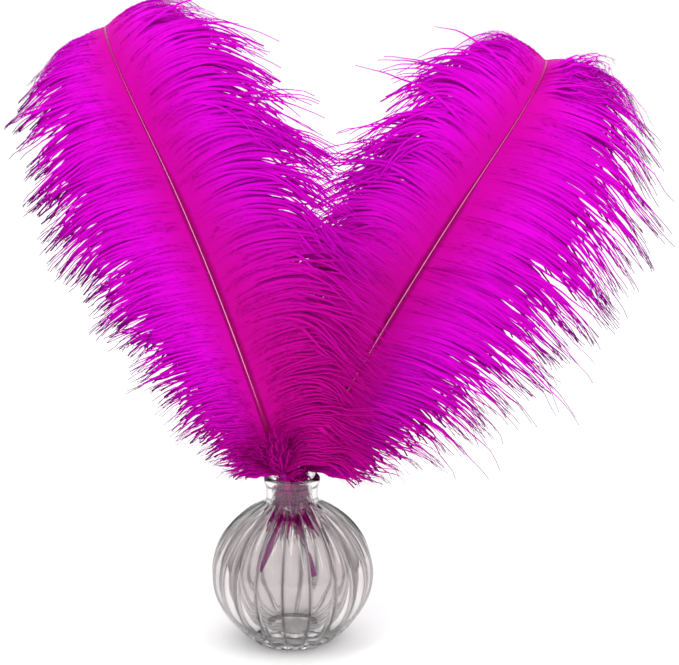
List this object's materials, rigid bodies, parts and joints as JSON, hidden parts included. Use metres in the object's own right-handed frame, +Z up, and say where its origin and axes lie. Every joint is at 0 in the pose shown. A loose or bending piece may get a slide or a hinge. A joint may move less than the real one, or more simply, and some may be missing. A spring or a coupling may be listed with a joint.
{
  "type": "ostrich plumes in a bud vase",
  "caption": "Dyed ostrich plumes that lean apart in a ribbed clear-glass bud vase; each lifts out of the neck, sways at its root and nods at its curled tip.",
  "frame": {"origin": "centre of the vase's flat foot, on the table", "axes": "+X to the right of the pair, +Y to the back, the way both tips curl, +Z up out of the vase's mouth"},
  "size_m": [0.3196, 0.1453, 0.3205],
  "materials": {
    "glass": "clear, polished, pressed ribs",
    "horn": "dyed horn of the feather shaft, satin gloss",
    "barb": "dyed downy barbs, soft matte"
  },
  "bodies": {
    "vase": {"vase": "glass"},
    "left_quill": {"left_quill": "horn"},
    "left_plume": {"left_shaft": "horn", "left_outer_barbs_1": "barb", "left_inner_barbs_1": "barb", "left_outer_barbs_2": "barb", "left_inner_barbs_2": "barb", "left_outer_barbs_3": "barb", "left_inner_barbs_3": "barb", "left_outer_barbs_4": "barb", "left_inner_barbs_4": "barb", "left_outer_barbs_5": "barb", "left_inner_barbs_5": "barb", "left_outer_barbs_6": "barb", "left_inner_barbs_6": "barb"},
    "left_tip": {"left_tip_shaft": "horn", "left_tip_outer_barbs_1": "barb", "left_tip_inner_barbs_1": "barb", "left_tip_outer_barbs_2": "barb", "left_tip_inner_barbs_2": "barb", "left_tip_outer_barbs_3": "barb", "left_tip_inner_barbs_3": "barb", "left_tip_outer_barbs_4": "barb", "left_tip_inner_barbs_4": "barb", "left_tip_outer_barbs_5": "barb", "left_tip_inner_barbs_5": "barb", "left_tip_outer_barbs_6": "barb", "left_tip_inner_barbs_6": "barb"},
    "right_quill": {"right_quill": "horn"},
    "right_plume": {"right_shaft": "horn", "right_outer_barbs_1": "barb", "right_inner_barbs_1": "barb", "right_outer_barbs_2": "barb", "right_inner_barbs_2": "barb", "right_outer_barbs_3": "barb", "right_inner_barbs_3": "barb", "right_outer_barbs_4": "barb", "right_inner_barbs_4": "barb", "right_outer_barbs_5": "barb", "right_inner_barbs_5": "barb", "right_outer_barbs_6": "barb", "right_inner_barbs_6": "barb"},
    "right_tip": {"right_tip_shaft": "horn", "right_tip_outer_barbs_1": "barb", "right_tip_inner_barbs_1": "barb", "right_tip_outer_barbs_2": "barb", "right_tip_inner_barbs_2": "barb", "right_tip_outer_barbs_3": "barb", "right_tip_inner_barbs_3": "barb", "right_tip_outer_barbs_4": "barb", "right_tip_inner_barbs_4": "barb", "right_tip_outer_barbs_5": "barb", "right_tip_inner_barbs_5": "barb", "right_tip_outer_barbs_6": "barb", "right_tip_inner_barbs_6": "barb"}
  },
  "joints": [
    {"name": "left_lift", "type": "slide", "parent": "vase", "child": "left_quill", "axis": [-0.2997, -0.0802, 0.9506], "range_m": [0, 0.08]},
    {"name": "left_sway", "type": "hinge", "parent": "left_quill", "child": "left_plume", "pos_m": [-0.00456, -0.00418, 0.08809], "axis": [-0.0241, 0.9968, 0.0765], "range_deg": [-6, 6], "stiffness_Nm_per_rad": 0.12},
    {"name": "left_nod", "type": "hinge", "parent": "left_plume", "child": "left_tip", "pos_m": [-0.05262, -0.01603, 0.22731], "axis": [0.9265, 0, 0.3764], "range_deg": [-12, 12], "stiffness_Nm_per_rad": 0.05},
    {"name": "right_lift", "type": "slide", "parent": "vase", "child": "right_quill", "axis": [0.4291, 0.0802, 0.8997], "range_m": [0, 0.08]},
    {"name": "right_sway", "type": "hinge", "parent": "right_quill", "child": "right_plume", "pos_m": [0.00636, 0.00418, 0.08797], "axis": [-0.0356, 0.9968, -0.0718], "range_deg": [-6, 6], "stiffness_Nm_per_rad": 0.12},
    {"name": "right_nod", "type": "hinge", "parent": "right_plume", "child": "right_tip", "pos_m": [0.08077, 0.01603, 0.21505], "axis": [0.8414, 0, -0.5405], "range_deg": [-12, 12], "stiffness_Nm_per_rad": 0.05}
  ]
}
